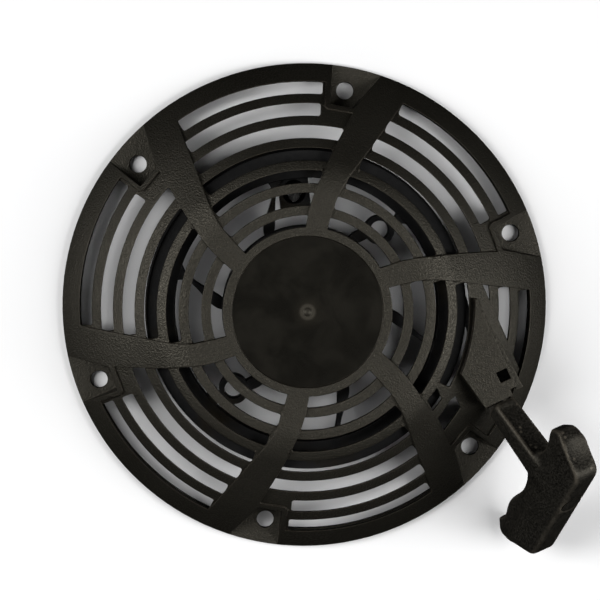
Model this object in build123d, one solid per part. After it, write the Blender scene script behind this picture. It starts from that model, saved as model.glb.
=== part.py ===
from build123d import *
from math import acos, atan2, cos, degrees, hypot, radians, sin
import os

# A pull-rope recoil starter for a small engine: vented cover, sprung rope pulley with pawls, and handle.
# Millimetres. The origin is on the pulley's axis in the plane of the mounting flange.
# +Z points away from the engine, through the cover's hub.

# Cover
RIM_RADIUS = 106.4
HUB_HEIGHT = 42.0
FLANGE_HEIGHT = 3.5
HUB_FLAT_RADIUS = 49.4        # inside this the dome's top is flat
LOUVRE_DROP = 1.6            # louvre bars lie this far under the arms
WALL_RISE = 3.2              # wall thickness measured along Z on the slope
ARM_COUNT = 6
ARM_PITCH = 360 / ARM_COUNT
SLOT_PITCH = 9.55
SLOT_WIDTH = 5.45
OUTER_SLOT_RADIUS = 98.4
SLOT_SPANS = [(25.5, 64.5), (25.8, 66.2), (18.2, 68.0), (20.8, 70.0), (23.6, 73.0), (26.4, 75.6)]
SLOT_SPANS += [(29.4, 76.8)]
SLOT_CORNER = 1.1
OUTLET_RINGS = 4             # outer rings that the outlet box interrupts
HUB_RING_RADIUS = 36.1
HUB_DISC_RADIUS = 32.4
HUB_DISC_DEPTH = 0.9
GATE_RADIUS = 2.4            # the sphere that leaves the moulding gate's dimple
RIB_THICKNESS = 2.0
RIB_DEPTH = 1.6

# Mounting holes, each in a flat-floored pocket beside an arm
BOLT_CIRCLE_RADIUS = 96.0
BOLT_ANGLE = 19.5
BOLT_HOLE_RADIUS = 3.75
POCKET_INNER_RADIUS = 89.0
POCKET_WALL = 2.2

# Rope outlet box: its own frame has x out of the mouth and y to the right
MOUTH_X = 82.45
MOUTH_Y = -39.1
MOUTH_ANGLE = -64.5
BOX_TOP = 36.0
BOX_BOTTOM = 12.0
BOX_WALL = 1.8
MOUTH_HALF_WIDTH = 6.5
BOX_HALF_WIDTH = 9.7
BOX_INNER_RADIUS = 71.6
BOX_SIDE_EDGE = 15.5         # louvre slots start this far to the right of the mouth's middle
SLANTED_GAPS = [[(55.6, -33.1), (58.0, -38.3), (54.2, -43.4), (51.5, -38.5)]]
SLANTED_GAPS += [[(62.0, -38.9), (64.2, -37.3), (66.7, -42.6), (59.7, -52.6), (56.6, -47.0)]]
TAB_SIZE = 4.4
TAB_RISE = 0.5
TAB_X = -9.4
TAB_Y = 6.4

# Pulley
POST_RADIUS = 9.5
RUNNING_CLEARANCE = 0.06
POST_BOTTOM = 11.2
PULLEY_BOTTOM = 15.5
PULLEY_THICKNESS = 13.0
PULLEY_RADIUS = 68.0
GROOVE_FLOOR = 59.0
PULLEY_FLANGE = 1.5
RIM_INNER_RADIUS = 56.8
WEB_THICKNESS = 6.0
CUP_RADIUS = 36.4
CUP_WALL = 2.0
CUP_TOP = 33.4
SPOKE_COUNT = 6
SPOKE_WIDTH = 3.0

# Rope
ROPE_DIAMETER = 4.4
ROPE_LANE = 4.5
LAYER_RADII = (61.3, 65.7)

# Rewind spring
STRIP_THICKNESS = 0.7
STRIP_HEIGHT = 9.0
SPRING_TURNS = 9
SPRING_INNER_RADIUS = 11.5
SPRING_OUTER_RADIUS = 33.6

# Pawls and friction plate
PAWL_ANGLES = (60.0, 240.0)
PAWL_PIVOT_RADIUS = 24.0
PAWL_TIP_REACH = 22.0
PAWL_SWING = 30.0
PAWL_THICKNESS = 3.8
PEG_REACH = 11.0
PEG_RADIUS = 2.0
PEG_CLEARANCE = 0.35
PIN_RADIUS = 2.5
PLATE_RADIUS = 35.0
PLATE_THICKNESS = 1.8
PLATE_BOTTOM = 9.1
PAWL_BOTTOM = 11.4
SCREW_RADIUS = 2.95
INSERT_RADIUS = 4.5
INSERT_BOTTOM = 20.0
INSERT_TOP = 32.0

# Handle: x along the crossbar, y along the pull, z across the flat
SEAT_GAP = 3.1
SEAT_HEIGHT = 25.0
PULL_ANGLE = -55.2
PULL_RISE = 28.0
HANDLE_ROLL = 58.0
STEM_WIDTH = 9.6             # at its end; it widens towards the crossbar
STEM_DEPTH = 11.4
BAR_DEPTH = 12.4
BAR_UPPER = 29.5             # the crossbar reaches further on its lower side
BAR_LOWER = -49.0
PALM_HEIGHT = 54.9
PALM_EDGE = 1.8
FINGER_HEIGHT = 29.5
SHOULDER_HEIGHT = 40.5
ROPE_BORE_RADIUS = 2.7
CAVITY_RADIUS = 4.7
CAVITY_FLOOR = 40.0

BOX_FRAME = Location((MOUTH_X, MOUTH_Y, 0), (0, 0, MOUTH_ANGLE))
GROOVE_MIDDLE = PULLEY_BOTTOM + PULLEY_THICKNESS / 2
ROPE_RADIUS = ROPE_DIAMETER / 2
BOTTOM = (Align.CENTER, Align.CENTER, Align.MIN)


def polar(radius, angle):
    return (radius * cos(radians(angle)), radius * sin(radians(angle)))


def disc(radius, low, high, inner=0.0):
    """A washer or cylinder about Z between two heights."""
    face = Circle(radius)
    if inner:
        face -= Circle(inner)
    return Pos(0, 0, low) * extrude(face, high - low)


def around(shape, count, start=0.0):
    return [Rot(0, 0, start + 360 / count * k) * shape for k in range(count)]


# ---------------------------------------------------------------- cover

def dome(drop):
    """The space under the cover's outer surface, with that surface lowered by drop."""
    base = -12.0
    top = (HUB_FLAT_RADIUS, HUB_HEIGHT - drop)
    brow = (66.0, 36.9 - drop)
    brink = (80.0, 27.4 - drop)
    rim = (RIM_RADIUS, FLANGE_HEIGHT - drop)
    edge = Polyline(rim, (RIM_RADIUS, base), (0, base), (0, HUB_HEIGHT - drop), top)
    edge += TangentArc(top, brow, tangent=(1, 0)) + Line(brow, brink)
    edge += TangentArc(brink, rim, tangent=(brink[0] - brow[0], brink[1] - brow[1]))
    return revolve(Plane.XZ * make_face(edge), Axis.Z)


def arc_slot(inner, outer, start, end):
    """A ring segment with small round corners."""
    middle = (start + end) / 2
    edge = ThreePointArc(polar(outer, start), polar(outer, middle), polar(outer, end))
    edge += Line(polar(outer, end), polar(inner, end))
    edge += ThreePointArc(polar(inner, end), polar(inner, middle), polar(inner, start))
    edge += Line(polar(inner, start), polar(outer, start))
    face = make_face(edge)
    return fillet(face.vertices(), SLOT_CORNER)


def slot_radii(ring):
    outer = OUTER_SLOT_RADIUS - SLOT_PITCH * ring
    return outer - SLOT_WIDTH, outer


def arm_face(narrow=0.0):
    """One curved arm in plan, from inside the hub ring to past the rim."""
    low = [(110, 2.6), (RIM_RADIUS, 3.2), (88.0, 6.0), (70.5, 9.6), (53.0, 14.8), (37.0, 16.6), (30, 17.0)]
    high = [(30, 34.0), (37.0, 30.8), (46.7, 28.0), (57.0, 24.4), (66.0, 21.6), (80.0, 18.0)]
    high += [(RIM_RADIUS, 12.0), (110, 10.8)]
    if narrow:
        middle = [(110, 6.7), (88.0, 11.4), (66.0, 16.2), (53.0, 20.0), (37.0, 23.7), (30, 25.5)]
        return trace(Spline(*[polar(*p) for p in middle]), narrow)
    edge = Spline(*[polar(*p) for p in low]) + Line(polar(*low[-1]), polar(*high[0]))
    edge += Spline(*[polar(*p) for p in high]) + Line(polar(*high[-1]), polar(*low[0]))
    return make_face(edge)


def pocket_face():
    """The recess round one bolt hole in plan, open past the rim."""
    floor = [polar(POCKET_INNER_RADIUS, 16.6), polar(POCKET_INNER_RADIUS, 23.4)]
    return make_face(Polyline(polar(112, 10.4), *floor, polar(112, 23.4), close=True))


def from_box(x, y):
    """A point of the outlet box's frame as plan coordinates; y is positive to the right of the mouth."""
    turn = radians(MOUTH_ANGLE)
    return (MOUTH_X + x * cos(turn) - y * sin(turn), MOUTH_Y + x * sin(turn) + y * cos(turn))


def box_outline(inset=0.0, past_mouth=0.0):
    """The outlet box in plan. Its inner side follows the pulley."""
    left = -BOX_HALF_WIDTH + inset
    right = BOX_HALF_WIDTH - inset
    mouth_left = -MOUTH_HALF_WIDTH + inset
    mouth_right = MOUTH_HALF_WIDTH - inset
    start = from_box(-44.6 + 2 * inset, right)
    end = from_box(-17.7, left)
    middle = polar(BOX_INNER_RADIUS + inset, -9.0)
    corners = [start, from_box(-2.8 - inset, right), from_box(-2.8 - inset, mouth_right),
               from_box(past_mouth, mouth_right), from_box(past_mouth, mouth_left), end]
    edge = Polyline(*corners) + ThreePointArc(end, middle, start)
    return make_face(edge)


def louvre_slots():
    """The slots between the louvre bars in plan: rings of arcs in each sector between two arms."""
    slots = outlet_sector_slots()
    for ring, (start, end) in enumerate(SLOT_SPANS):
        low, high = slot_radii(ring)
        for arm in range(ARM_COUNT):
            if arm == ARM_COUNT - 1 and ring < OUTLET_RINGS:
                continue
            slots.append(arc_slot(low, high, start + ARM_PITCH * arm, end + ARM_PITCH * arm))
    return slots


def raised_plan():
    """What stands above the louvres in plan: hub, arms and rim."""
    plan = Circle(HUB_RING_RADIUS) + (Circle(RIM_RADIUS) - Circle(OUTER_SLOT_RADIUS))
    return plan + around(arm_face(), ARM_COUNT)


def make_housing():
    """The cover: louvred dome, arms, hub ring, rim, bolt pockets, outlet box and the pulley's post."""
    outer = dome(0)
    inner = dome(LOUVRE_DROP + WALL_RISE)
    louvres = dome(LOUVRE_DROP) - inner
    louvres -= extrude(Sketch() + louvre_slots(), 70)
    solid = louvres + (extrude(raised_plan(), 70) & (outer - inner))
    solid += disc(RIM_RADIUS, 0, FLANGE_HEIGHT, OUTER_SLOT_RADIUS)

    box = Pos(0, 0, BOX_BOTTOM) * extrude(box_outline(), BOX_TOP - BOX_BOTTOM)
    shoulder = BOX_FRAME * Polyline((-44.0, 9.0), (-44.0, 10.5), (-1.0, 12.3), (-1.0, 9.0), close=True)
    box += Pos(0, 0, BOX_BOTTOM) * extrude(make_face(shoulder), BOX_TOP - BOX_BOTTOM - 2.2)
    solid += box - inner
    solid -= extrude(box_outline(BOX_WALL, 3.0), BOX_TOP - BOX_WALL)
    solid -= BOX_FRAME * Pos(TAB_X, TAB_Y, BOX_TOP - 5) * Box(TAB_SIZE + 0.5, TAB_SIZE + 0.5, 20)

    rib = extrude(arm_face(RIB_THICKNESS), 70) & (inner - dome(LOUVRE_DROP + WALL_RISE + RIB_DEPTH))
    rib -= disc(34.0, -20, 60)
    rib -= disc(120.0, -20, 60, 97.0)
    pocket_block = extrude(offset(pocket_face(), POCKET_WALL), 70) & outer
    pocket_cut = Pos(0, 0, FLANGE_HEIGHT) * extrude(pocket_face(), 70)
    hole = Pos(*polar(BOLT_CIRCLE_RADIUS, BOLT_ANGLE), -1) * Cylinder(BOLT_HOLE_RADIUS, 20, align=BOTTOM)
    solid = solid + around(rib, ARM_COUNT) + around(pocket_block, ARM_COUNT)
    solid = solid - around(pocket_cut, ARM_COUNT) - around(hole, ARM_COUNT)
    solid &= Cylinder(150, 80, align=BOTTOM)

    solid -= disc(HUB_DISC_RADIUS, HUB_HEIGHT - HUB_DISC_DEPTH, 60)
    solid -= Pos(0, 0, HUB_HEIGHT + 0.6) * Sphere(GATE_RADIUS)
    solid += disc(POST_RADIUS, POST_BOTTOM, HUB_HEIGHT - 2)
    solid += disc(POST_RADIUS + 5, HUB_HEIGHT - 7, HUB_HEIGHT - 2)
    solid -= disc(SCREW_RADIUS + 0.25, 0, HUB_HEIGHT - 6)
    solid -= disc(6.2, 0, POST_BOTTOM + 4.8)
    solid -= disc(INSERT_RADIUS, INSERT_BOTTOM, INSERT_TOP)
    anchor_slot = Box(6, 1.6, 12, align=(Align.MIN, Align.CENTER, Align.MIN))
    solid -= Pos(POST_RADIUS - 2.5, 0, PULLEY_BOTTOM + WEB_THICKNESS) * anchor_slot
    return solid


def outlet_sector_slots():
    """The openings of the outlet box's sector: louvre slots cut off beside the box and two slanted gaps."""
    turn = ARM_PITCH * (ARM_COUNT - 1)
    beside = BOX_FRAME * Pos(0, BOX_SIDE_EDGE + 60) * Rectangle(160, 120)
    pieces = []
    for ring, (start, end) in enumerate(SLOT_SPANS[:OUTLET_RINGS - 1]):
        low, high = slot_radii(ring)
        pieces.append(arc_slot(low, high, start + turn, end + turn) & beside)
    low, high = slot_radii(OUTLET_RINGS - 1)
    pieces.append(arc_slot(low, high, 31.5 + turn, 70.0 + turn))
    for corners in SLANTED_GAPS:
        pieces.append(make_face(Polyline(*corners, close=True)))
    return pieces


# ---------------------------------------------------------------- rope outlet guide

GUIDE_LOW = 16.8
GUIDE_HIGH = BOX_TOP - BOX_WALL - 0.05
GUIDE_BORE = 3.5


def make_rope_guide():
    """The eyelet insert: a block in the box's mouth with a belled bore and a square snap tab on top."""
    half = MOUTH_HALF_WIDTH - BOX_WALL - 0.05
    wide = BOX_HALF_WIDTH - BOX_WALL - 0.05
    outline = Polyline((-16, -half), (-2.9, -half), (-1.4, -half), (-1.4, half), (-5.0, half), (-5.0, wide),
                       (-16, wide), close=True)
    block = Pos(0, 0, GUIDE_LOW) * extrude(make_face(outline), GUIDE_HIGH - GUIDE_LOW)
    block += Pos(TAB_X, TAB_Y, GUIDE_HIGH) * Box(TAB_SIZE, TAB_SIZE, TAB_RISE, align=BOTTOM)
    bore = Pos(-20, 0, SEAT_HEIGHT) * Rot(0, 90, 0) * Cylinder(GUIDE_BORE, 30, align=BOTTOM)
    block -= bore
    for x, tilt in ((-16, 90), (-1.4, -90)):
        block -= Pos(x, 0, SEAT_HEIGHT) * Rot(0, tilt, 0) * Cone(4.3, GUIDE_BORE - 0.05, 4.0, align=BOTTOM)
    return BOX_FRAME * block


# ---------------------------------------------------------------- pulley

KNOT_ANGLE = 96.0
KNOT_PLACE = 51.0
KNOT_RADIUS = 4.6
KNOT_BLOCK_LENGTH = 14
KNOT_BLOCK_WIDTH = 13
LOOP_PLACE = 46.5
LOOP_LAG = 12.5
LOOP_RADIUS = 6.4
LOOP_HOLE_RADIUS = 4.0
SPRING_RECESS_RADIUS = 5.6
PIN_BOSS_RADIUS = 3.5
PIN_DEPTH = 5.0
DISH_RADIUS = 14.2


def spoke_face():
    """One slanted spoke in plan, wider where it joins the rim."""
    left = [polar(58.5, 37.5), polar(54.5, 42.6), polar(46.0, 47.0), polar(34.5, 54.6)]
    right = [polar(58.5, 48.0), polar(54.0, 46.2), polar(46.0, 50.9), polar(34.5, 59.6)]
    edge = Spline(*left) + Line(left[-1], right[-1]) + Spline(*right) + Line(right[0], left[0])
    return make_face(edge)


def make_pulley():
    """The rope pulley: grooved rim, slanted spokes, spring cup, loop bosses and the rope's knot pocket."""
    top = PULLEY_BOTTOM + PULLEY_THICKNESS
    body = disc(PULLEY_RADIUS, PULLEY_BOTTOM, top, RIM_INNER_RADIUS)
    groove_low = PULLEY_BOTTOM + PULLEY_FLANGE
    groove_high = top - PULLEY_FLANGE
    body -= disc(PULLEY_RADIUS + 5, groove_low, groove_high, GROOVE_FLOOR)
    body += disc(CUP_RADIUS, PULLEY_BOTTOM, CUP_TOP)
    body -= disc(CUP_RADIUS - CUP_WALL, PULLEY_BOTTOM + WEB_THICKNESS, CUP_TOP + 1, POST_RADIUS + 1.6)
    body -= disc(POST_RADIUS + 3, CUP_TOP - 2.6, CUP_TOP + 1)
    spoke = Pos(0, 0, PULLEY_BOTTOM + 1) * extrude(spoke_face(), PULLEY_THICKNESS - 2)
    for piece in around(spoke, SPOKE_COUNT):
        body += piece
    for angle in PAWL_ANGLES:
        x, y = polar(LOOP_PLACE, angle - LOOP_LAG)
        hole = Cylinder(LOOP_HOLE_RADIUS, 30, align=BOTTOM)
        loop = Cylinder(LOOP_RADIUS, PULLEY_THICKNESS - 1.5, align=BOTTOM) - hole
        body -= Pos(x, y, PULLEY_BOTTOM) * hole
        body += Pos(x, y, PULLEY_BOTTOM + 0.8) * loop
    knot_x, knot_y = polar(KNOT_PLACE, KNOT_ANGLE)
    block = Box(KNOT_BLOCK_LENGTH, KNOT_BLOCK_WIDTH, PULLEY_THICKNESS - 2.5, align=BOTTOM)
    pocket = Pos(knot_x, knot_y, 0) * Rot(0, 0, KNOT_ANGLE) * block
    body += Pos(0, 0, PULLEY_BOTTOM + 0.5) * pocket
    body -= Pos(knot_x, knot_y, PULLEY_BOTTOM + 2.0) * Cylinder(KNOT_RADIUS + 0.5, 20, align=BOTTOM)
    rope_hole = Rot(0, 90, KNOT_ANGLE) * Cylinder(ROPE_RADIUS + 0.3, 12, align=BOTTOM)
    body -= Pos(knot_x, knot_y, GROOVE_MIDDLE) * rope_hole
    body -= disc(POST_RADIUS + RUNNING_CLEARANCE, 0, 60)
    for angle in PAWL_ANGLES:
        x, y = polar(PAWL_PIVOT_RADIUS, angle)
        body -= Pos(x, y, 0) * Cylinder(PIN_RADIUS, PULLEY_BOTTOM + PIN_DEPTH + 0.2, align=BOTTOM)
        recess = Cylinder(SPRING_RECESS_RADIUS, PULLEY_BOTTOM + 3.0, align=BOTTOM)
        recess -= Cylinder(PIN_BOSS_RADIUS, 40, align=BOTTOM)
        body -= Pos(x, y, 0) * recess
    return body


def knot(radius, bulge):
    """A pulled-tight overhand knot as a closed rounded lump with one hitch showing."""
    return Sphere(radius) + Rot(38, 24, 0) * Torus(radius - bulge * 0.4, bulge)


def make_pulley_knot():
    return Pos(*polar(KNOT_PLACE, KNOT_ANGLE), GROOVE_MIDDLE + 1.0) * knot(4.2, 1.4)


TANGENT_RADIUS = LAYER_RADII[1]
GUIDE_INNER = from_box(-15.0, 0)


def tangent_angle():
    """Where the straight rope leaves the pulley on its way to the guide."""
    x, y = GUIDE_INNER
    return degrees(atan2(y, x)) + degrees(acos(TANGENT_RADIUS / hypot(x, y)))


def make_rope_coil():
    """Two lanes and two layers of rope; the outer turn of the upper lane is open where the rope leaves."""
    rings = []
    for lane in (-1, 1):
        for radius in LAYER_RADII:
            height = GROOVE_MIDDLE + lane * ROPE_LANE / 2
            if lane == 1 and radius == TANGENT_RADIUS:
                start = Location((0, 0, height), (0, 0, tangent_angle()))
                face = Plane.XZ * Pos(radius, 0) * Circle(ROPE_RADIUS - 0.05)
                rings.append(start * revolve(face, Axis.Z, 325))
            else:
                rings.append(Pos(0, 0, height) * Torus(radius, ROPE_RADIUS - 0.05))
    return Compound(children=rings)


# ---------------------------------------------------------------- rewind spring

def spiral_strip(inner, outer, turns, thickness, height):
    """A flat spiral made of half circles about two alternating centres."""
    halves = 2 * turns
    step = (outer - inner) / halves
    sides = []
    for side in (thickness / 2, -thickness / 2):
        points = []
        for k in range(halves + 1):
            sign = 1 if k % 2 == 0 else -1
            points.append((sign * (inner + step * k + side), 0))
        sides.append(points)
    runs = []
    for points in sides:
        run = Curve()
        for k in range(halves):
            (x0, _), (x1, _) = points[k], points[k + 1]
            bulge = abs(x1 - x0) / 2
            run += ThreePointArc((x0, 0), ((x0 + x1) / 2, bulge if k % 2 == 0 else -bulge), (x1, 0))
        runs.append(run)
    edge = runs[0] + runs[1] + Line(sides[0][0], sides[1][0]) + Line(sides[0][-1], sides[1][-1])
    return extrude(make_face(edge), height)


def make_rewind_spring():
    radii = (SPRING_INNER_RADIUS, SPRING_OUTER_RADIUS)
    strip = spiral_strip(*radii, SPRING_TURNS, STRIP_THICKNESS, STRIP_HEIGHT)
    return Pos(0, 0, PULLEY_BOTTOM + WEB_THICKNESS + 0.3) * strip


def make_spring_cover():
    low = PULLEY_BOTTOM + WEB_THICKNESS + STRIP_HEIGHT + 0.6
    plate = disc(CUP_RADIUS - CUP_WALL, low, low + 1.0, POST_RADIUS + 3.4)
    for k in range(3):
        plate -= Pos(*polar(24, 120 * k + 30), 0) * Cylinder(3.0, 60, align=BOTTOM)
    return plate


# ---------------------------------------------------------------- pawls

def pawl_outline():
    """A pawl about its own pivot, folded in: its tip points along the pulling direction."""
    edge = ThreePointArc((4.6, -1.5), (0.4, 4.8), (-4.6, -0.5))
    tip = [(1.6, -PAWL_TIP_REACH), (4.9, -PAWL_TIP_REACH + 2.2)]
    edge += Polyline((-4.6, -0.5), (-3.4, -16.0), *tip, (4.6, -1.5))
    return make_face(edge)


def make_pawl(angle):
    body = Pos(0, 0, PAWL_BOTTOM) * extrude(pawl_outline(), PAWL_THICKNESS)
    body -= Cylinder(PIN_RADIUS + RUNNING_CLEARANCE, 40, align=BOTTOM)
    peg_low = PLATE_BOTTOM - 0.4
    body += Pos(0, -PEG_REACH, peg_low) * Cylinder(PEG_RADIUS, PAWL_BOTTOM + 0.5 - peg_low, align=BOTTOM)
    return Rot(0, 0, angle) * Pos(PAWL_PIVOT_RADIUS, 0, 0) * body


def make_pawl_pin(angle):
    x, y = polar(PAWL_PIVOT_RADIUS, angle)
    length = PULLEY_BOTTOM + PIN_DEPTH - PAWL_BOTTOM
    return Pos(x, y, PAWL_BOTTOM - 0.2) * Cylinder(PIN_RADIUS, length, align=BOTTOM)


def coil(radius, wire, turns, pitch):
    path = Helix(pitch, pitch * turns, radius)
    section = Plane(origin=path @ 0, z_dir=path % 0) * Circle(wire / 2)
    return sweep(section, path=path, is_frenet=True)


def make_pawl_spring(angle):
    x, y = polar(PAWL_PIVOT_RADIUS, angle)
    return Pos(x, y, PULLEY_BOTTOM + 0.55) * coil(4.5, 0.7, 2.5, 0.8)


# ---------------------------------------------------------------- friction plate and its fastening

def peg_in_plate(share):
    """The peg's place in the plate's own frame when the pawl has swung by a share of its travel."""
    swing = radians(PAWL_SWING * share)
    x = PAWL_PIVOT_RADIUS + PEG_REACH * sin(swing)
    y = -PEG_REACH * cos(swing)
    back = -swing
    return (x * cos(back) - y * sin(back), x * sin(back) + y * cos(back))


def make_friction_plate():
    """A steel disc with two slanted slots for the pawls' pegs and a raised centre."""
    plate = disc(PLATE_RADIUS, PLATE_BOTTOM, PLATE_BOTTOM + PLATE_THICKNESS)
    peg_path = ThreePointArc(peg_in_plate(-0.03), peg_in_plate(0.5), peg_in_plate(1.03))
    slot = SlotArc(peg_path, 2 * (PEG_RADIUS + PEG_CLEARANCE))
    relief = Pos(34.0, 15.0) * Circle(10.0)
    for angle in PAWL_ANGLES:
        plate -= Rot(0, 0, angle) * extrude(slot, 40)
        plate -= Rot(0, 0, angle + 15) * extrude(relief, 40)
    return plate - disc(SCREW_RADIUS + 0.15, 0, 40)


def make_friction_spring():
    return Pos(0, 0, PLATE_BOTTOM + PLATE_THICKNESS + 0.65) * coil(4.9, 0.9, 3, 1.25)


def make_center_washer():
    return disc(8.5, PLATE_BOTTOM - 1.25, PLATE_BOTTOM - 0.1, SCREW_RADIUS + 0.2)


def make_center_screw():
    """A flanged hexagon screw driven up into the cover's post."""
    seat = PLATE_BOTTOM - 1.25
    head = Pos(0, 0, seat - 4.2) * extrude(RegularPolygon(5.0, 6, major_radius=False), 3.2)
    head += disc(6.6, seat - 1.2, seat)
    return head + disc(SCREW_RADIUS, seat, 31.0)


def make_screw_insert():
    """A knurled brass insert moulded into the post."""
    body = disc(INSERT_RADIUS, INSERT_BOTTOM, INSERT_TOP, SCREW_RADIUS)
    body -= disc(5, 25.2, 26.8, 4.0)
    return body


# ---------------------------------------------------------------- handle

def handle_plane():
    """The handle's frame, with x along the crossbar, y along the pull and its origin at the stem's end."""
    turn, rise, roll = radians(PULL_ANGLE), radians(PULL_RISE), radians(HANDLE_ROLL)
    pull = Vector(cos(rise) * cos(turn), cos(rise) * sin(turn), sin(rise))
    side = Vector(-sin(turn), cos(turn), 0)
    lift = Vector(-sin(rise) * cos(turn), -sin(rise) * sin(turn), cos(rise))
    bar = side * cos(roll) + lift * sin(roll)
    origin = Vector(*from_box(0.2, 0), SEAT_HEIGHT) + pull * SEAT_GAP
    return Plane(origin=origin, x_dir=bar, z_dir=bar.cross(pull))


HANDLE = handle_plane()


def bar_outline():
    """The crossbar seen across its flat: straight palm side, round ends and finger shapes by the stem."""
    lower = [(-5.9, 24.8), (-7.4, 29.4), (-13.0, 32.3), (-19.5, 32.5), (-28.0, 30.1), (-36.0, FINGER_HEIGHT)]
    lower += [(-41.0, 30.9), (BAR_LOWER + 1.0, 28.3)]
    upper = [(5.9, 24.8), (8.0, 30.0), (14.5, 32.1), (21.0, 30.7), (BAR_UPPER - 4, FINGER_HEIGHT)]
    corners = [
        ((BAR_LOWER - 4.0, 33.5), 3.0),
        ((BAR_LOWER, SHOULDER_HEIGHT), 6.0),
        ((BAR_LOWER + 9.5, PALM_HEIGHT), 4.0),
        ((BAR_UPPER - 7.0, PALM_HEIGHT), 6.5),
        ((BAR_UPPER, SHOULDER_HEIGHT), 8.0),
        ((BAR_UPPER + 1.0, 34.0), 3.0),
    ]
    edge = Spline(*lower)
    edge += Polyline(lower[-1], *[place for place, _ in corners], upper[-1])
    edge += Spline(*reversed(upper)) + Line(upper[0], lower[0])
    face = make_face(edge)
    for place, radius in corners:
        corner = face.vertices().sort_by_distance((*place, 0))[0]
        face = fillet(corner, radius)
    return face


def bar_section():
    """The crossbar across its length: a rounded palm side and a finger side that thins to a narrow edge."""
    half = BAR_DEPTH / 2
    waist = SHOULDER_HEIGHT - 0.5
    low = FINGER_HEIGHT - 5.0
    corners = [(PALM_HEIGHT, half), (waist, half), (low, 2.6)]
    corners += [(low, -2.6), (waist, -half), (PALM_HEIGHT, -half)]
    face = make_face(Polyline(*corners, close=True))
    for side in (-1, 1):
        face = fillet(face.vertices().sort_by_distance((PALM_HEIGHT, side * half, 0))[0], PALM_EDGE)
    across = Plane((BAR_LOWER - 10, 0, 0), x_dir=(0, 1, 0), z_dir=(1, 0, 0))
    return extrude(across * face, 120)


def make_handle_grip():
    """The T-handle: stem with recessed flanks, finger shapes, flat palm side and dished ends."""
    bar = Pos(0, 0, -BAR_DEPTH / 2) * extrude(bar_outline(), BAR_DEPTH)
    bar = bar & bar_section()
    foot = Plane((0, 0, 0), x_dir=(1, 0, 0), z_dir=(0, 1, 0)) * RectangleRounded(STEM_WIDTH, STEM_DEPTH, 1.6)
    top = Plane((0, SHOULDER_HEIGHT + 3, 0), x_dir=(1, 0, 0), z_dir=(0, 1, 0))
    root = top * RectangleRounded(STEM_WIDTH + 3.4, BAR_DEPTH - 0.1, 1.6)
    bar += loft([foot, root])
    for side in (-1, 1):
        panel = Pos(side * (STEM_WIDTH / 2 + 1.9), 16.2, 0) * Rot(0, 0, -side * 2.1) * Box(4.4, 26, 8.4)
        bar -= panel
    for end, lean in ((BAR_UPPER - 2.4, 26), (BAR_LOWER + 3.3, 146.6)):
        hollow = Pos(13.0, 0, 0) * scale(Sphere(DISH_RADIUS), (1, 1.25, 1))
        bar -= Pos(end, SHOULDER_HEIGHT + 4.5, 0) * Rot(0, 0, lean) * hollow
    bar -= Rot(-90, 0, 0) * Cylinder(ROPE_BORE_RADIUS, 80, align=BOTTOM)
    bar -= Rot(-90, 0, 0) * Cone(3.9, ROPE_BORE_RADIUS, 7, align=BOTTOM)
    bar -= Pos(0, CAVITY_FLOOR, 0) * Rot(-90, 0, 0) * Cylinder(CAVITY_RADIUS, 30, align=BOTTOM)
    return bar


def make_grip_cap():
    """The plug that closes the knot's cavity, with a push-in skirt."""
    return Pos(0, PALM_HEIGHT - 2.8, 0) * Rot(-90, 0, 0) * Cylinder(CAVITY_RADIUS, 2.6, align=BOTTOM)


def make_knot_washer():
    ring = Pos(0, CAVITY_FLOOR, 0) * Rot(-90, 0, 0) * Cylinder(CAVITY_RADIUS - 0.2, 1.2, align=BOTTOM)
    return ring - Rot(-90, 0, 0) * Cylinder(ROPE_BORE_RADIUS, 80, align=BOTTOM)


def make_grip_knot():
    return Pos(0, CAVITY_FLOOR + 5.4, 0) * knot(3.0, 1.2)


def make_rope_run():
    """The rope from the pulley's tangent point through the guide and up the stem to the handle's knot."""
    height = GROOVE_MIDDLE + ROPE_LANE / 2
    start = Vector(*polar(TANGENT_RADIUS, tangent_angle()), height)
    guide = Vector(*from_box(-13.0, 0), height)
    seat = HANDLE.from_local_coords(Vector(0, -2.2, 0))
    end = HANDLE.from_local_coords(Vector(0, CAVITY_FLOOR + 1.4, 0))
    start += (guide - start).normalized() * 0.2
    path = FilletPolyline(start, guide, seat, end, radius=(40.0, 16.0))
    section = Plane(origin=path @ 0, z_dir=path % 0) * Circle(ROPE_RADIUS - 0.05)
    return sweep(section, path=path)


PARTS = {
    "housing": make_housing,
    "rope_guide": make_rope_guide,
    "pulley": make_pulley,
    "pulley_knot": make_pulley_knot,
    "rope_coil": make_rope_coil,
    "rope_run": make_rope_run,
    "rewind_spring": make_rewind_spring,
    "spring_cover": make_spring_cover,
    "friction_plate": make_friction_plate,
    "friction_spring": make_friction_spring,
    "center_washer": make_center_washer,
    "center_screw": make_center_screw,
    "screw_insert": make_screw_insert,
}
HANDLE_PARTS = {
    "handle_grip": make_handle_grip,
    "grip_cap": make_grip_cap,
    "knot_washer": make_knot_washer,
    "grip_knot": make_grip_knot,
}

os.makedirs("parts", exist_ok=True)
for name, make in PARTS.items():
    export_step(make(), f"parts/{name}.step")
for name, make in HANDLE_PARTS.items():
    export_step(HANDLE.location * make(), f"parts/{name}.step")
for number, angle in enumerate(PAWL_ANGLES, start=1):
    export_step(make_pawl(angle), f"parts/pawl_{number}.step")
    export_step(make_pawl_pin(angle), f"parts/pawl_pin_{number}.step")
    export_step(make_pawl_spring(angle), f"parts/pawl_spring_{number}.step")
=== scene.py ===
import bpy
from math import asin, atan2, cos, degrees, hypot, pi, radians, sin
from mathutils import Matrix, Vector


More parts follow.
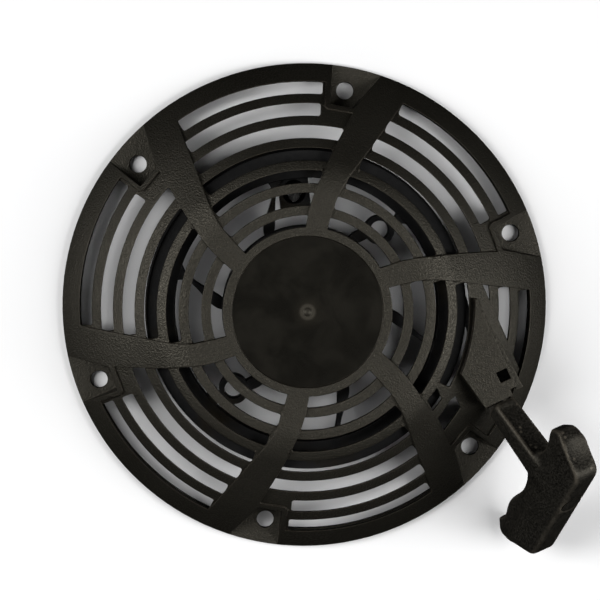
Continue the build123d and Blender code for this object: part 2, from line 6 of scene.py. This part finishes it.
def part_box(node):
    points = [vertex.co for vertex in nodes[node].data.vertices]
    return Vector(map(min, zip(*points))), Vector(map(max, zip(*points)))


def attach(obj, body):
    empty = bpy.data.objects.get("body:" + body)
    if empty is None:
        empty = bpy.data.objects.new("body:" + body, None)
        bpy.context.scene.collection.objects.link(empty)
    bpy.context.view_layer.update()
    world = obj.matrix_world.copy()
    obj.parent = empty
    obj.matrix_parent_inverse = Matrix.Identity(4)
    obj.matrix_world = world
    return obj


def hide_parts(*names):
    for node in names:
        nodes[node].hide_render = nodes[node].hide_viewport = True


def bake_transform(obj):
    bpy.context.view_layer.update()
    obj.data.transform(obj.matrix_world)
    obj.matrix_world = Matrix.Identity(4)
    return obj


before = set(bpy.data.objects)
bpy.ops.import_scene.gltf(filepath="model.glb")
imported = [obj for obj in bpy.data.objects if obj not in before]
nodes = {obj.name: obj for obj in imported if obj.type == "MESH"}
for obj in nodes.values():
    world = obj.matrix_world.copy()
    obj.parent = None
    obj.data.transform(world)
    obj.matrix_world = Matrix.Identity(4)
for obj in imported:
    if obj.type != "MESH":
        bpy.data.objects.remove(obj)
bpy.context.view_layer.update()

# Lengths in metres, angles in degrees. The frame is the CAD's: Z up through the hub, rope towards +X -Y.
CAMERA_PLACE = (-0.0341, 0.0740, 1.100)
CAMERA_TURN = (-3.72, -1.67, 0.0)
CAMERA_LENS = 150.0

HUB_DISC_RADIUS = 0.0324
HUB_DISC_HEIGHT = 0.0400

# Pulley: its flanges reach farther than the CAD's, the upper one as far as the ribs under the arms allow.
# What lies beyond FLANGE_EDGE in the CAD is moved.
FLANGE_EDGE = 0.0675
LOWER_FLANGE_RADIUS = 0.0698
UPPER_FLANGE_RADIUS = 0.0687

# Rounding of the sharp edges of moulded and machined pieces
PULLEY_ROUNDING = 0.00022
ROUNDING = {
    "housing": 0.00028, "rope_guide": 0.00018, "friction_plate": 0.00015, "center_screw": 0.00015,
    "pawl_1": 0.00018, "pawl_2": 0.00018,
}
ROUNDED_ABOVE = 38.0
GRIP_VOXEL = 0.00042
GRIP_SMOOTHING = 80

# Rope: wound in two layers and two lanes, each lane that far above or below the groove's middle
ROPE_RADIUS = 0.0021
LANE = 0.00225
GROOVE_MIDDLE = 0.022
LAYER_RADII = (0.0613, 0.0657)
TURN_POINTS = 120
LAST_TURN_SWEEP = 325
STRANDS_EACH_WAY = 8
BRAID_LAY = 3.3

# The rope's way out: points along the outlet box's own X axis, which ends at its mouth
MOUTH = (0.08245, -0.0391)
MOUTH_ANGLE = -64.5
INLET = -0.015
GUIDE = -0.013
GUIDE_BEND = 0.040
SEAT = 0.0002
SEAT_HEIGHT = 0.025
SEAT_BEND = 0.016
SEAT_GAP = 0.0031
SEAT_DEPTH = 0.0022

# The handle's pull, and how far up its stem the rope goes
PULL_ANGLE = -55.2
PULL_RISE = 28.0
CAVITY_FLOOR = 0.040
ROPE_PAST_FLOOR = 0.0014

# Where the straight run starts, past the point at which the rope leaves the pulley
LEAVING_STEP = 0.0002

# Knots: rope pulled thin, inside the CAD's lumps
KNOT_POINTS = 96
KNOT_THINNING = 0.72
KNOT_FIT = 0.98


# ---------------------------------------------------------------- materials

class Shader:
    """A node material with one Principled shader, built with short calls."""

    def __init__(self, name):
        self.material = bpy.data.materials.new(name)
        self.material.use_nodes = True
        self.tree = self.material.node_tree
        self.surface = next(n for n in self.tree.nodes if n.type == "BSDF_PRINCIPLED")
        self.place = self.add("ShaderNodeTexCoord").outputs["Object"]

    def add(self, kind, **settings):
        node = self.tree.nodes.new(kind)
        for key, value in settings.items():
            setattr(node, key, value)
        return node

    def feed(self, socket, value):
        if isinstance(value, bpy.types.NodeSocket):
            self.tree.links.new(value, socket)
        else:
            socket.default_value = value

    def noise(self, scale, detail=3.0, rough=0.5, place=None, distort=0.0):
        """Fractal noise with scale in features per metre, about 0.5 in the middle."""
        n = self.add("ShaderNodeTexNoise")
        self.feed(n.inputs["Vector"], place or self.place)
        n.inputs["Scale"].default_value = scale
        n.inputs["Detail"].default_value = detail
        n.inputs["Roughness"].default_value = rough
        n.inputs["Distortion"].default_value = distort
        return n.outputs["Fac"]

    def cells(self, scale):
        """Distance from the nearest of scattered points, with scale in points per metre."""
        n = self.add("ShaderNodeTexVoronoi", feature="F1")
        self.feed(n.inputs["Vector"], self.place)
        n.inputs["Scale"].default_value = scale
        return n.outputs["Distance"]

    def math(self, operation, a, b=0.0):
        n = self.add("ShaderNodeMath", operation=operation)
        self.feed(n.inputs[0], a)
        self.feed(n.inputs[1], b)
        return n.outputs[0]

    def ramp(self, value, low, high, to_low=0.0, to_high=1.0):
        """The value's range low to high turned smoothly into to_low to to_high."""
        n = self.add("ShaderNodeMapRange", interpolation_type="SMOOTHSTEP")
        for socket, x in zip(n.inputs[:5], (value, low, high, to_low, to_high)):
            self.feed(socket, x)
        return n.outputs[0]

    def mix(self, share, a, b):
        n = self.add("ShaderNodeMix", data_type="RGBA")
        self.feed(n.inputs[0], share)
        self.feed(n.inputs[6], a)
        self.feed(n.inputs[7], b)
        return n.outputs[2]

    def axes(self):
        n = self.add("ShaderNodeSeparateXYZ")
        self.feed(n.inputs[0], self.place)
        return n.outputs

    def stretched(self, factors, turn=0.0):
        """The place scaled along each axis, for drawn-out streaks."""
        n = self.add("ShaderNodeMapping")
        self.feed(n.inputs["Vector"], self.place)
        n.inputs["Scale"].default_value = factors
        n.inputs["Rotation"].default_value = (0, 0, radians(turn))
        return n.outputs[0]

    def edges(self, reach):
        """1 on the object's outer and inner edges, 0 on its plain faces."""
        rounded = self.add("ShaderNodeBevel", samples=4)
        rounded.inputs["Radius"].default_value = reach
        plain = self.add("ShaderNodeNewGeometry")
        dot = self.add("ShaderNodeVectorMath", operation="DOT_PRODUCT")
        self.feed(dot.inputs[0], rounded.outputs[0])
        self.feed(dot.inputs[1], plain.outputs["Normal"])
        return self.ramp(dot.outputs["Value"], 0.995, 0.80)

    def ridges(self, low, high):
        """1 where a finely meshed surface is most convex."""
        return self.ramp(self.add("ShaderNodeNewGeometry").outputs["Pointiness"], low, high)

    def bump(self, *layers):
        """Bump nodes one on another: (height, strength, depth in metres)."""
        last = None
        for height, strength, depth in layers:
            n = self.add("ShaderNodeBump")
            n.inputs["Strength"].default_value = strength
            n.inputs["Distance"].default_value = depth
            self.feed(n.inputs["Height"], height)
            if last:
                self.feed(n.inputs["Normal"], last)
            last = n.outputs[0]
        self.feed(self.surface.inputs["Normal"], last)

    def finish(self, colour, roughness, metallic=0.0, specular=0.5, tint=(1.0, 1.0, 1.0, 1.0)):
        s = self.surface.inputs
        self.feed(s["Base Color"], colour)
        self.feed(s["Roughness"], roughness)
        s["Metallic"].default_value = metallic
        s["Specular IOR Level"].default_value = specular
        s["Specular Tint"].default_value = tint
        return self.material


def rgb(red, green, blue):
    return (red, green, blue, 1.0)


WARM = rgb(1.0, 0.93, 0.76)


def cover_plastic():
    """Black nylon, spark-textured but for the hub's smoother disc with its gate mark."""
    m = Shader("cover_plastic")
    x, y, z = m.axes()
    radius = m.math("SQRT", m.math("ADD", m.math("MULTIPLY", x, x), m.math("MULTIPLY", y, y)))
    inside = m.ramp(radius, HUB_DISC_RADIUS, HUB_DISC_RADIUS - 0.0004)
    high = m.ramp(z, HUB_DISC_HEIGHT - 0.0006, HUB_DISC_HEIGHT)
    disc = m.math("MULTIPLY", inside, high)
    spark = m.noise(1400, 2, 0.6)
    pits = m.cells(1100)
    cloud = m.noise(45, 3, 0.6)
    smear = m.noise(70, 3, 0.55, distort=0.4)
    grain = m.mix(m.ramp(spark, 0.36, 0.66), rgb(0.0002, 0.0002, 0.0002), rgb(0.0062, 0.0056, 0.0042))
    grain = m.mix(m.ramp(cloud, 0.35, 0.75, 0.0, 0.45), grain, rgb(0.0024, 0.0022, 0.0017))
    plate = m.mix(m.ramp(smear, 0.35, 0.7), rgb(0.0012, 0.0011, 0.0009), rgb(0.0020, 0.0018, 0.0014))
    # The gate mark: a pale halo with a narrow ring in it
    halo = m.ramp(radius, 0.0085, 0.0015)
    ring = m.math("MULTIPLY", m.ramp(radius, 0.0036, 0.0030), m.ramp(radius, 0.0020, 0.0026))
    mark = m.math("MULTIPLY", m.math("ADD", halo, ring), 0.4)
    plate = m.mix(mark, plate, rgb(0.0110, 0.0094, 0.0070))
    colour = m.mix(disc, grain, plate)
    # Painted highlight: the edges are mixed part way towards a pale warm brown, in patches along them.
    edge_highlight = m.math("MULTIPLY", m.edges(0.0005), m.ramp(m.noise(350, 3), 0.3, 0.7, 0.35, 1.0))
    colour = m.mix(m.math("MULTIPLY", edge_highlight, 0.55), colour, rgb(0.046, 0.036, 0.027))
    rough = m.ramp(spark, 0.32, 0.68, 0.62, 0.34)
    rough = m.math("ADD", rough, m.ramp(cloud, 0.3, 0.7, -0.03, 0.04))
    smooth = m.math("ADD", m.ramp(smear, 0.3, 0.7, 0.27, 0.33), m.ramp(radius, 0.0042, 0.0022, 0.0, 0.28))
    outside = m.math("SUBTRACT", 1.0, disc)
    rough = m.math("ADD", m.math("MULTIPLY", rough, outside), m.math("MULTIPLY", smooth, disc))
    texture = m.math("MULTIPLY", spark, m.ramp(disc, 0.0, 1.0, 1.0, 0.06))
    dents = m.math("MULTIPLY", pits, m.ramp(disc, 0.0, 1.0, 1.0, 0.05))
    m.bump((m.noise(30, 2), 0.15, 0.0005), (dents, 0.45, 0.00016), (texture, 0.75, 0.00042))
    return m.finish(colour, rough, specular=0.30, tint=WARM)


def pulley_plastic():
    """Black nylon with flow marks and patches of thin grease."""
    m = Shader("pulley_plastic")
    flow = m.noise(240, 4, 0.6, distort=1.2)
    dust = m.noise(1800, 3, 0.6)
    colour = m.mix(m.ramp(flow, 0.35, 0.7), rgb(0.0012, 0.0012, 0.0013), rgb(0.0035, 0.0034, 0.0033))
    grease = m.ramp(m.noise(38, 3, 0.6), 0.52, 0.72)
    colour = m.mix(m.math("MULTIPLY", grease, 0.35), colour, rgb(0.016, 0.012, 0.006))
    # Painted highlight: the edges are mixed part way towards a lighter grey.
    colour = m.mix(m.math("MULTIPLY", m.edges(0.0004), 0.4), colour, rgb(0.020, 0.018, 0.017))
    rough = m.math("SUBTRACT", m.ramp(dust, 0.3, 0.7, 0.40, 0.55), m.math("MULTIPLY", grease, 0.16))
    m.bump((flow, 0.2, 0.0003), (dust, 0.3, 0.00005))
    return m.finish(colour, rough, specular=0.12)


def guide_plastic():
    """The rope guide's dull, nearly black acetal."""
    m = Shader("guide_plastic")
    fine = m.noise(900, 3)
    colour = m.mix(m.ramp(fine, 0.3, 0.7), rgb(0.0004, 0.0004, 0.0004), rgb(0.0010, 0.0010, 0.0009))
    # Painted highlight: the edges are mixed a little towards a lighter grey.
    colour = m.mix(m.math("MULTIPLY", m.edges(0.0003), 0.2), colour, rgb(0.010, 0.009, 0.008))
    m.bump((fine, 0.2, 0.00005))
    return m.finish(colour, m.ramp(m.noise(300, 3), 0.3, 0.7, 0.60, 0.72), specular=0.0)


def grip_plastic(name, ridged):
    """The handle's satin black: speckled, with faint flow streaks and, where ridged, a painted highlight
    along the ridges, in patches.
    """
    m = Shader(name)
    spark = m.noise(1250, 2, 0.6)
    streak = m.noise(1.0, 4, 0.6, place=m.stretched((900, 160, 300), 35), distort=0.4)
    wear_and_highlight_patches = m.noise(120, 3, 0.6)
    colour = m.mix(m.ramp(spark, 0.35, 0.70), rgb(0.0006, 0.0006, 0.0005), rgb(0.0120, 0.0110, 0.0092))
    colour = m.mix(m.ramp(streak, 0.55, 0.80, 0.0, 0.25), colour, rgb(0.0075, 0.0070, 0.0065))
    # Painted highlight: the most convex ridges are mixed towards a pale warm brown, in patches, and made a
    # little less rough there.
    ridges = m.ridges(0.503, 0.524) if ridged else 0.0
    edge_highlight = m.math("MULTIPLY", ridges, m.ramp(wear_and_highlight_patches, 0.3, 0.65, 0.5, 1.0))
    colour = m.mix(m.math("MULTIPLY", edge_highlight, 0.6), colour, rgb(0.060, 0.052, 0.040))
    rough = m.ramp(wear_and_highlight_patches, 0.3, 0.7, 0.42, 0.54)
    rough = m.math("SUBTRACT", rough, m.math("MULTIPLY", edge_highlight, 0.10))
    m.bump((m.noise(60, 2), 0.15, 0.0005), (streak, 0.12, 0.0001), (spark, 0.6, 0.00032))
    return m.finish(colour, rough, specular=0.19, tint=WARM)


def metal(name, dark, light, rough, lathe=False, oil=0.0):
    """Bright or dull metal with fine working marks, a patchy film and brighter edges."""
    m = Shader(name)
    grain = (300, 300, 6000) if lathe else (2500, 2500, 160)
    marks = m.noise(1.0, 3, 0.6, place=m.stretched(grain))
    film = m.noise(220, 4, 0.6)
    colour = m.mix(m.ramp(film, 0.3, 0.7), rgb(*dark), rgb(*light))
    colour = m.mix(m.math("MULTIPLY", m.ramp(m.noise(90, 3), 0.5, 0.7), oil), colour, rgb(0.10, 0.07, 0.03))
    # The edges are mixed towards a brighter tone of the metal.
    brighter = tuple(min(1.0, c * 1.25) for c in light)
    colour = m.mix(m.math("MULTIPLY", m.edges(0.0003), 0.6), colour, rgb(*brighter))
    worked = m.ramp(marks, 0.3, 0.7, rough - 0.07, rough + 0.09)
    roughness = m.math("ADD", worked, m.ramp(film, 0.4, 0.7, 0.0, 0.06))
    m.bump((marks, 0.25, 0.00004), (m.noise(3000, 2), 0.15, 0.00002))
    return m.finish(colour, roughness, metallic=1.0)


def rope_fibre():
    """Braided black nylon: fine fuzz all over and patches of dust."""
    m = Shader("rope_fibre")
    fuzz = m.noise(5200, 4, 0.7)
    dust = m.noise(420, 3, 0.6)
    colour = m.mix(m.ramp(fuzz, 0.3, 0.7), rgb(0.006, 0.006, 0.006), rgb(0.034, 0.033, 0.031))
    colour = m.mix(m.ramp(dust, 0.5, 0.8, 0.0, 0.4), colour, rgb(0.060, 0.055, 0.045))
    m.bump((fuzz, 0.7, 0.00012))
    made = m.finish(colour, m.ramp(fuzz, 0.3, 0.7, 0.62, 0.85), specular=0.35)
    m.surface.inputs["Sheen Weight"].default_value = 0.25
    m.surface.inputs["Sheen Roughness"].default_value = 0.5
    return made


COVER = cover_plastic()
PULLEY = pulley_plastic()
ACETAL = guide_plastic()
GRIP = grip_plastic("grip_plastic", True)
CAP = grip_plastic("cap_plastic", False)
FIBRE = rope_fibre()
SPRING = metal("spring_steel", (0.20, 0.19, 0.17), (0.36, 0.34, 0.31), 0.34, oil=0.45)
ZINC = metal("zinc_steel", (0.42, 0.43, 0.44), (0.62, 0.63, 0.62), 0.36)
PRESSED = metal("pawl_steel", (0.24, 0.24, 0.25), (0.38, 0.38, 0.38), 0.40, oil=0.25)
BRASS = metal("brass_insert", (0.55, 0.38, 0.14), (0.72, 0.54, 0.24), 0.34, lathe=True)

FINISHES = {
    "housing": COVER, "pulley": PULLEY, "rope_guide": ACETAL, "handle_grip": GRIP, "grip_cap": CAP,
    "rewind_spring": SPRING, "friction_spring": SPRING, "pawl_spring_1": SPRING, "pawl_spring_2": SPRING,
    "center_screw": ZINC, "center_washer": ZINC, "spring_cover": ZINC, "pawl_pin_1": ZINC, "pawl_pin_2": ZINC,
    "friction_plate": ZINC, "knot_washer": ZINC, "pawl_1": PRESSED, "pawl_2": PRESSED, "screw_insert": BRASS,
    "rope_coil": FIBRE, "rope_run": FIBRE, "pulley_knot": FIBRE, "grip_knot": FIBRE,
}
for name, material in FINISHES.items():
    nodes[name].data.materials.clear()
    nodes[name].data.materials.append(material)


# ---------------------------------------------------------------- moulded edges

def soften(piece, width):
    """Rounds a piece's sharp edges with modifiers, as a mould's radii do."""
    for face in piece.data.polygons:
        face.use_smooth = True
    weld = piece.modifiers.new("weld", "WELD")
    weld.merge_threshold = 0.00002
    round_off = piece.modifiers.new("round", "BEVEL")
    round_off.width = width
    round_off.segments = 2
    round_off.limit_method = "ANGLE"
    round_off.angle_limit = radians(ROUNDED_ABOVE)
    round_off.use_clamp_overlap = False
    round_off.miter_outer = "MITER_ARC"
    normals = piece.modifiers.new("normals", "WEIGHTED_NORMAL")
    normals.weight = 100
    normals.keep_sharp = False


def copy_of(node, name):
    """A new object with a copy of a CAD node's mesh and materials."""
    piece = bpy.data.objects.new(name, nodes[node].data.copy())
    bpy.context.scene.collection.objects.link(piece)
    return piece


def wide_pulley(name):
    """A copy of the CAD's pulley with its flanges' edges moved out."""
    piece = copy_of("pulley", name)
    for vertex in piece.data.vertices:
        reach = hypot(vertex.co.x, vertex.co.y)
        if reach > FLANGE_EDGE:
            radius = LOWER_FLANGE_RADIUS if vertex.co.z < GROOVE_MIDDLE else UPPER_FLANGE_RADIUS
            vertex.co.x *= radius / reach
            vertex.co.y *= radius / reach
    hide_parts("pulley")
    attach(piece, "pulley_assembly")
    return piece


for name, width in ROUNDING.items():
    soften(nodes[name], width)
soften(wide_pulley("rope_pulley"), PULLEY_ROUNDING)


def soft_grip(name):
    """A copy of the CAD's grip with all its edges rounded as a soft moulding's are."""
    piece = copy_of("handle_grip", name)
    remesh = piece.modifiers.new("remesh", "REMESH")
    remesh.mode = "VOXEL"
    remesh.voxel_size = GRIP_VOXEL
    remesh.use_smooth_shade = True
    smooth = piece.modifiers.new("smooth", "SMOOTH")
    smooth.factor = 0.5
    smooth.iterations = GRIP_SMOOTHING
    made = bpy.data.meshes.new_from_object(piece.evaluated_get(bpy.context.evaluated_depsgraph_get()))
    piece.modifiers.clear()
    piece.data = made
    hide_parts("handle_grip")
    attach(piece, "handle")


soft_grip("grip")


# ---------------------------------------------------------------- rope

def new_piece(name, vertices, faces, material):
    mesh = bpy.data.meshes.new(name)
    mesh.from_pydata(vertices, [], faces)
    mesh.validate()
    for face in mesh.polygons:
        face.use_smooth = True
    mesh.materials.append(material)
    piece = bpy.data.objects.new(name, mesh)
    bpy.context.scene.collection.objects.link(piece)
    return piece


def even_points(points, step):
    """The same line with its points a step apart."""
    lengths = [0.0]
    for a, b in zip(points, points[1:]):
        lengths.append(lengths[-1] + (b - a).length)
    count = max(2, int(lengths[-1] / step))
    out, k = [], 0
    for n in range(count + 1):
        want = lengths[-1] * n / count
        while k < len(points) - 2 and lengths[k + 1] < want:
            k += 1
        share = (want - lengths[k]) / max(1e-9, lengths[k + 1] - lengths[k])
        out.append(points[k].lerp(points[k + 1], share))
    return out


def strand_height(turn, along, radius):
    """How far a diamond braid stands out, from 0 in its gaps to 1 on its crowns."""
    lay = along / (radius * BRAID_LAY)
    right = STRANDS_EACH_WAY * turn / (2 * pi) + lay
    left = STRANDS_EACH_WAY * turn / (2 * pi) - lay
    over = int((right // 1) + (left // 1)) % 2
    shown, other = (right, left) if over else (left, right)
    crown = sin(pi * (shown % 1.0)) ** 0.7
    dip = sin(pi * (other % 1.0)) ** 0.5
    return crown * (0.55 + 0.45 * dip)


def braided(name, points, radius, step=0.00035, around=40, depth=0.00028, closed=False):
    """A braided rope along a line of points. A closed one has its lay stretched to meet itself."""
    line = even_points(points, step)
    if closed:
        line = line[:-1]
    total = len(line)
    up = Vector((0, 0, 1))
    vertices, faces = [], []
    previous = None
    along = 0.0
    lay_length = 2 * BRAID_LAY * radius
    length = sum((b - a).length for a, b in zip(line, line[1:]))
    stretch = 1.0
    if closed:
        stretch = round(length / lay_length) * lay_length / length
    for k, point in enumerate(line):
        ahead = line[(k + 1) % total] if closed or k < total - 1 else line[k]
        behind = line[k - 1] if closed or k > 0 else line[k]
        forward = (ahead - behind).normalized()
        side = forward.cross(up)
        if side.length < 1e-6:
            side = Vector((1, 0, 0))
        side.normalize()
        if previous is not None and side.dot(previous) < 0:
            side = -side
        previous = side
        lift = side.cross(forward)
        if k:
            along += (point - line[k - 1]).length
        for n in range(around):
            turn = 2 * pi * n / around
            r = radius - depth * (1 - strand_height(turn, along * stretch, radius))
            vertices.append(point + side * (r * cos(turn)) + lift * (r * sin(turn)))
    rings = total if closed else total - 1
    for k in range(rings):
        a, b = k * around, ((k + 1) % total) * around
        for n in range(around):
            m = (n + 1) % around
            faces.append((a + n, b + n, b + m, a + m))
    if not closed:
        faces.append(tuple(range(around)))
        faces.append(tuple(reversed(range((total - 1) * around, total * around))))
    return new_piece(name, vertices, faces, FIBRE)


def join(pieces):
    with bpy.context.temp_override(active_object=pieces[0], selected_editable_objects=pieces):
        bpy.ops.object.join()
    return pieces[0]


def polar(radius, angle, height):
    return Vector((radius * cos(radians(angle)), radius * sin(radians(angle)), height))


def from_mouth(x, height):
    """A point on the outlet box's X axis."""
    turn = radians(MOUTH_ANGLE)
    return Vector((MOUTH[0] + x * cos(turn), MOUTH[1] + x * sin(turn), height))


top_lane = GROOVE_MIDDLE + LANE
leaving_radius = LAYER_RADII[1]
inlet = from_mouth(INLET, top_lane)
tangent_turn = degrees(asin(leaving_radius / hypot(inlet.x, inlet.y)))
leaving_angle = degrees(atan2(inlet.y, inlet.x)) + 90 - tangent_turn

turns = []
for lane in (-1, 1):
    for radius in LAYER_RADII:
        height = GROOVE_MIDDLE + lane * LANE
        if lane == 1 and radius == leaving_radius:
            continue  # the last turn runs on into the pull rope
        ring = [polar(radius, 360 * k / TURN_POINTS, height) for k in range(TURN_POINTS + 1)]
        name = f"rope_turn_{len(turns) + 1}"
        turns.append(braided(name, ring, ROPE_RADIUS, step=0.0006, around=28, closed=True))
wound_rope = join(turns)
wound_rope.name = "wound_rope"
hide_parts("rope_coil")
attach(wound_rope, "pulley_assembly")


def direction(azimuth, elevation):
    """The unit vector that points along an azimuth and an elevation."""
    level = cos(radians(elevation))
    return Vector((level * cos(radians(azimuth)), level * sin(radians(azimuth)), sin(radians(elevation))))


pull = direction(PULL_ANGLE, PULL_RISE)
stem_foot = from_mouth(SEAT, SEAT_HEIGHT) + pull * SEAT_GAP


def rounded_corner(before, corner, after, radius, count=14):
    """Points of an arc that rounds a corner between two straight runs."""
    a = (before - corner).normalized()
    b = (after - corner).normalized()
    half = a.angle(b) / 2
    reach = radius / max(1e-6, abs(sin(half) / cos(half)))
    middle = corner + (a + b).normalized() * (radius / sin(half))
    first, last = corner + a * reach, corner + b * reach
    points = []
    for k in range(count + 1):
        p = first.lerp(last, k / count)
        points.append(middle + (p - middle).normalized() * radius)
    return points


guide_point = from_mouth(GUIDE, top_lane)
leave = polar(leaving_radius, leaving_angle, top_lane)
leave = leave + (guide_point - leave).normalized() * LEAVING_STEP
seat_point = stem_foot - pull * SEAT_DEPTH
rope_top = stem_foot + pull * (CAVITY_FLOOR + ROPE_PAST_FLOOR)
last_turn = []
for k in range(TURN_POINTS, 0, -1):
    last_turn.append(polar(leaving_radius, leaving_angle + LAST_TURN_SWEEP * k / TURN_POINTS, top_lane))
route = last_turn + [leave] + rounded_corner(leave, guide_point, seat_point, GUIDE_BEND)
route += rounded_corner(guide_point, seat_point, rope_top, SEAT_BEND) + [rope_top]
pull_rope = braided("pull_rope", route, ROPE_RADIUS)
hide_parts("rope_run")
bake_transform(pull_rope)


def tied_knot(name, node, body, size):
    """A tight overhand knot of braided rope in the place of a CAD lump."""
    low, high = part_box(node)
    centre = (low + high) / 2
    points = []
    for k in range(KNOT_POINTS + 1):
        t = 2 * pi * k / KNOT_POINTS
        trefoil = Vector((sin(t) + 1.7 * sin(2 * t), cos(t) - 1.7 * cos(2 * t), -0.9 * sin(3 * t)))
        points.append(trefoil * size)
    thin = ROPE_RADIUS * KNOT_THINNING
    piece = braided(name, points, thin, step=0.0003, around=24, depth=0.0002, closed=True)
    inner = (high - low) / 2
    reach = [max(abs(v.co[i]) for v in piece.data.vertices) for i in range(3)]
    shrink = [min(1.0, KNOT_FIT * inner[i] / reach[i]) for i in range(3)]
    piece.data.transform(Matrix.Diagonal(shrink + [1.0]))
    piece.data.transform(Matrix.Translation(centre))
    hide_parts(node)
    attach(piece, body)


tied_knot("pulley_rope_knot", "pulley_knot", "pulley_assembly", 0.0011)
tied_knot("grip_rope_knot", "grip_knot", "rope_end", 0.0010)


# ---------------------------------------------------------------- floor, light and camera

FLOOR_HALF = 1.4
SKY_STRENGTH = 0.03
# Each light's azimuth, elevation, distance, width, height and power in watts
SOFTBOXES = {
    "left_softbox": (172, 41, 1.15, 0.40, 1.05, 17.0),
    "right_softbox": (353, 41, 1.15, 0.40, 1.05, 18.0),
    "high_softbox": (142, 62, 1.3, 0.25, 0.25, 1.8),
    "near_softbox": (262, 40, 1.2, 0.4, 0.4, 1.5),
}


def floor(name, z, light, dark, seen):
    """A paper floor: one is seen, and a dimmer one just below it is what glossy surfaces reflect."""
    half = FLOOR_HALF
    corners = [(-half, -half, z), (half, -half, z), (half, half, z), (-half, half, z)]
    mesh = bpy.data.meshes.new(name)
    mesh.from_pydata(corners, [], [(0, 1, 2, 3)])
    m = Shader(name)
    m.finish(m.mix(m.noise(6, 2), rgb(*dark), rgb(*light)), 0.9, specular=0.1)
    mesh.materials.append(m.material)
    piece = bpy.data.objects.new(name, mesh)
    bpy.context.scene.collection.objects.link(piece)
    piece.visible_camera = piece.visible_diffuse = piece.visible_shadow = seen
    piece.visible_glossy = not seen


def softbox(name, azimuth, elevation, distance, width, height, power):
    """An oblong area light that faces the cover's middle, its height along the elevation."""
    light = bpy.data.lights.new(name, "AREA")
    light.shape = "RECTANGLE"
    light.size = width
    light.size_y = height
    light.energy = power
    lamp = bpy.data.objects.new(name, light)
    bpy.context.scene.collection.objects.link(lamp)
    towards = direction(azimuth, elevation)
    lamp.location = towards * distance
    lamp.rotation_mode = "QUATERNION"
    lamp.rotation_quaternion = towards.to_track_quat("Z", "Y")


floor("floor_paper", -0.0002, (0.61, 0.61, 0.615), (0.59, 0.59, 0.59), True)
floor("floor_reflected", -0.0004, (0.19, 0.19, 0.19), (0.18, 0.18, 0.18), False)
for name, settings in SOFTBOXES.items():
    softbox(name, *settings)

world = bpy.data.worlds.new("studio")
bpy.context.scene.world = world
world.use_nodes = True
sky = world.node_tree.nodes["Background"].inputs
sky[0].default_value = rgb(1.0, 1.0, 1.0)
sky[1].default_value = SKY_STRENGTH
bpy.context.scene.view_settings.view_transform = "Standard"

camera_data = bpy.data.cameras.new("camera")
camera_data.lens = CAMERA_LENS
camera_data.sensor_width = 36.0
camera_data.clip_end = 10.0
camera = bpy.data.objects.new("camera", camera_data)
camera.location = CAMERA_PLACE
camera.rotation_euler = [radians(a) for a in CAMERA_TURN]
bpy.context.scene.collection.objects.link(camera)
bpy.context.scene.camera = camera
